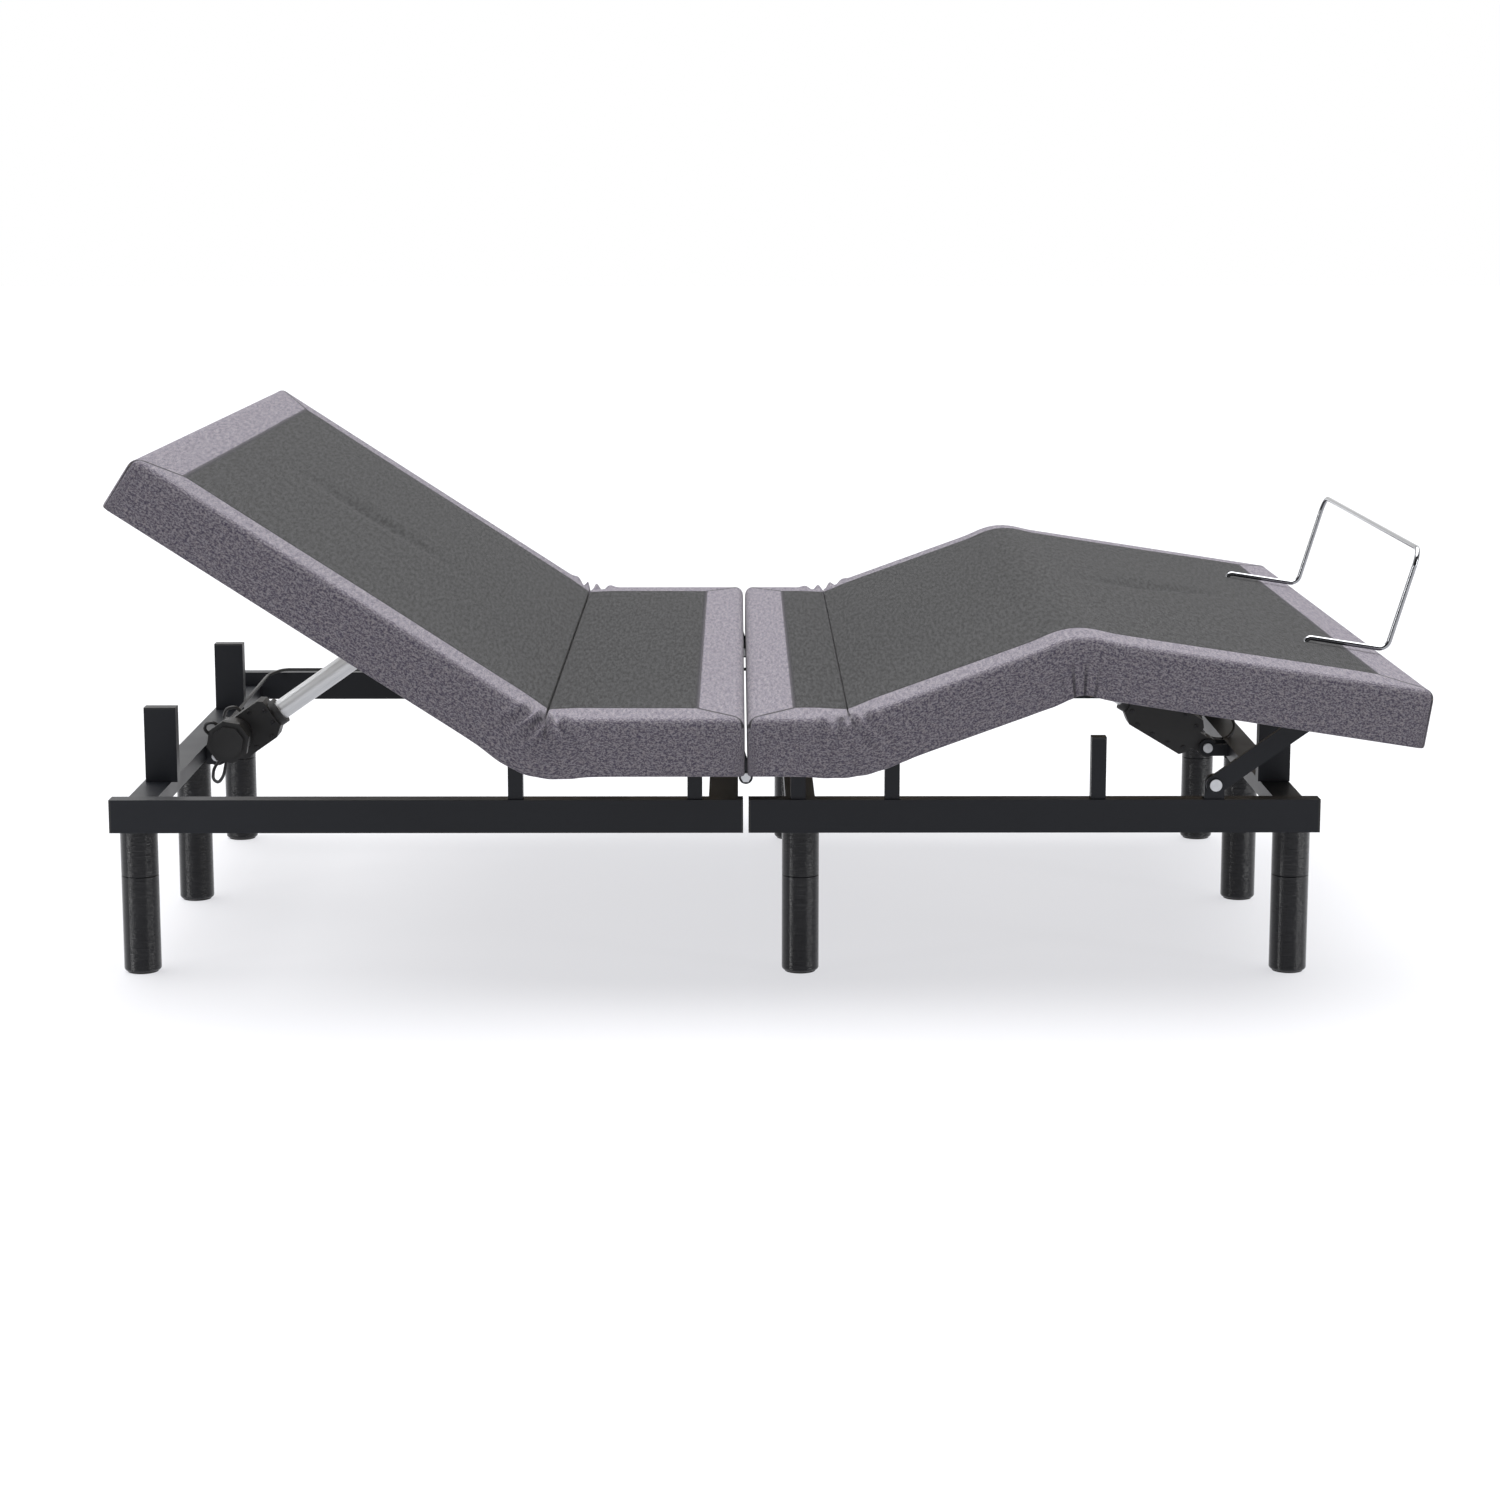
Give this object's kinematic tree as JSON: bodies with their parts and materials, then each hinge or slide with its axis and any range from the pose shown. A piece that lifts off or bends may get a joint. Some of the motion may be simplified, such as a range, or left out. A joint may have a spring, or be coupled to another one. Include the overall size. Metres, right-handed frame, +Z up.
{
  "type": "adjustable bed base",
  "caption": "Upholstered adjustable bed base with a lifting head, thigh and foot section on a black steel frame with round legs and electric rams.",
  "frame": {"origin": "on the floor, under the middle of the bed's box in its stored position", "axes": "+X runs to the foot end, +Y to the sleeper's left side, +Z up"},
  "size_m": [2.0009, 1.524, 0.8146],
  "materials": {
    "frame_black": "satin",
    "black_plastic": "matte",
    "leg_plastic": "gloss",
    "glide": "matte",
    "zinc": "satin",
    "ram_steel": "satin",
    "plywood": "matte",
    "pine": "matte",
    "upholstery": "matte",
    "cable": "matte",
    "chrome_bar": "polished"
  },
  "bodies": {
    "root": {"rail_head_right": "frame_black", "rail_head_left": "frame_black", "rail_foot_right": "frame_black", "rail_foot_left": "frame_black", "cross_head_end": "frame_black", "cross_head_mid": "frame_black", "cross_foot_mid": "frame_black", "cross_foot_end": "frame_black", "rail_plugs": "black_plastic", "end_uprights": "frame_black", "seat_posts": "frame_black", "rest_pads": "black_plastic", "leg_collars": "leg_plastic", "leg_tubes": "leg_plastic", "leg_glides": "glide", "leg_studs": "zinc", "seat_frame_head": "frame_black", "seat_frame_foot": "frame_black", "centre_ears": "frame_black", "centre_bolts": "zinc", "seat_board_head": "plywood", "seat_board_foot": "plywood", "seat_sides_head": "pine", "seat_sides_foot": "pine", "seat_padding_head": "upholstery", "seat_padding_foot": "upholstery", "hinge_pins": "zinc", "ram_pins": "zinc", "link_brackets": "frame_black", "link_bolts": "zinc", "control_box": "black_plastic", "head_motor_cable": "cable", "foot_motor_cable": "cable"},
    "head_section": {"head_frame": "frame_black", "head_board": "plywood", "head_sides": "pine", "head_padding": "upholstery"},
    "head_ram": {"head_gearbox": "black_plastic", "head_motor": "black_plastic", "head_outer_tube": "ram_steel"},
    "head_rod": {"head_rod": "ram_steel", "head_rod_pin": "zinc"},
    "thigh_section": {"thigh_frame": "frame_black", "thigh_board": "plywood", "thigh_sides": "pine", "thigh_padding": "upholstery", "knee_pins": "zinc"},
    "foot_section": {"foot_frame": "frame_black", "foot_board": "plywood", "foot_sides": "pine", "foot_padding": "upholstery", "retainer_bar": "chrome_bar", "bar_sockets": "black_plastic"},
    "foot_links": {"foot_links": "frame_black", "link_pins": "zinc"},
    "foot_ram": {"foot_gearbox": "black_plastic", "foot_motor": "black_plastic", "foot_outer_tube": "ram_steel"},
    "foot_rod": {"foot_rod": "ram_steel", "foot_rod_pin": "zinc"}
  },
  "joints": [
    {"name": "head_lift", "type": "hinge", "parent": "root", "child": "head_section", "pos_m": [-0.34865, 0, 0.3995], "axis": [0, 1, 0], "range_deg": [-33, 22]},
    {"name": "head_ram_pivot", "type": "hinge", "parent": "root", "child": "head_ram", "pos_m": [-0.93265, 0, 0.249], "axis": [0, -1, 0], "range_deg": [-11.2, 7.47]},
    {"name": "head_ram_stroke", "type": "slide", "parent": "head_ram", "child": "head_rod", "axis": [0.8192, 0, 0.5736], "range_m": [-0.12916, 0.08617]},
    {"name": "thigh_lift", "type": "hinge", "parent": "root", "child": "thigh_section", "pos_m": [0.10835, 0, 0.3995], "axis": [0, -1, 0], "range_deg": [-20, 15]},
    {"name": "knee_fold", "type": "hinge", "parent": "thigh_section", "child": "foot_section", "pos_m": [0.43348, 0, 0.51784], "axis": [0, -1, 0], "range_deg": [-21.61, 28.81]},
    {"name": "foot_link_swing", "type": "hinge", "parent": "root", "child": "foot_links", "pos_m": [0.65005, 0, 0.3164], "axis": [0, -1, 0], "range_deg": [-19.07, 14.3]},
    {"name": "foot_ram_pivot", "type": "hinge", "parent": "root", "child": "foot_ram", "pos_m": [0.72835, 0, 0.262], "axis": [0, -1, 0], "range_deg": [-8.59, 11.45]},
    {"name": "foot_ram_stroke", "type": "slide", "parent": "foot_ram", "child": "foot_rod", "axis": [-0.8572, 0, 0.515], "range_m": [-0.06841, 0.05136]}
  ],
  "couplings": [
    {"joint": "head_ram_pivot", "follows": "head_lift", "ratio": 0.339},
    {"joint": "head_ram_stroke", "follows": "head_lift", "m_per_rad": 0.2239},
    {"joint": "knee_fold", "follows": "thigh_lift", "ratio": -1.44},
    {"joint": "foot_link_swing", "follows": "thigh_lift", "ratio": 0.953},
    {"joint": "foot_ram_pivot", "follows": "thigh_lift", "ratio": -0.572},
    {"joint": "foot_ram_stroke", "follows": "thigh_lift", "m_per_rad": 0.1954}
  ]
}
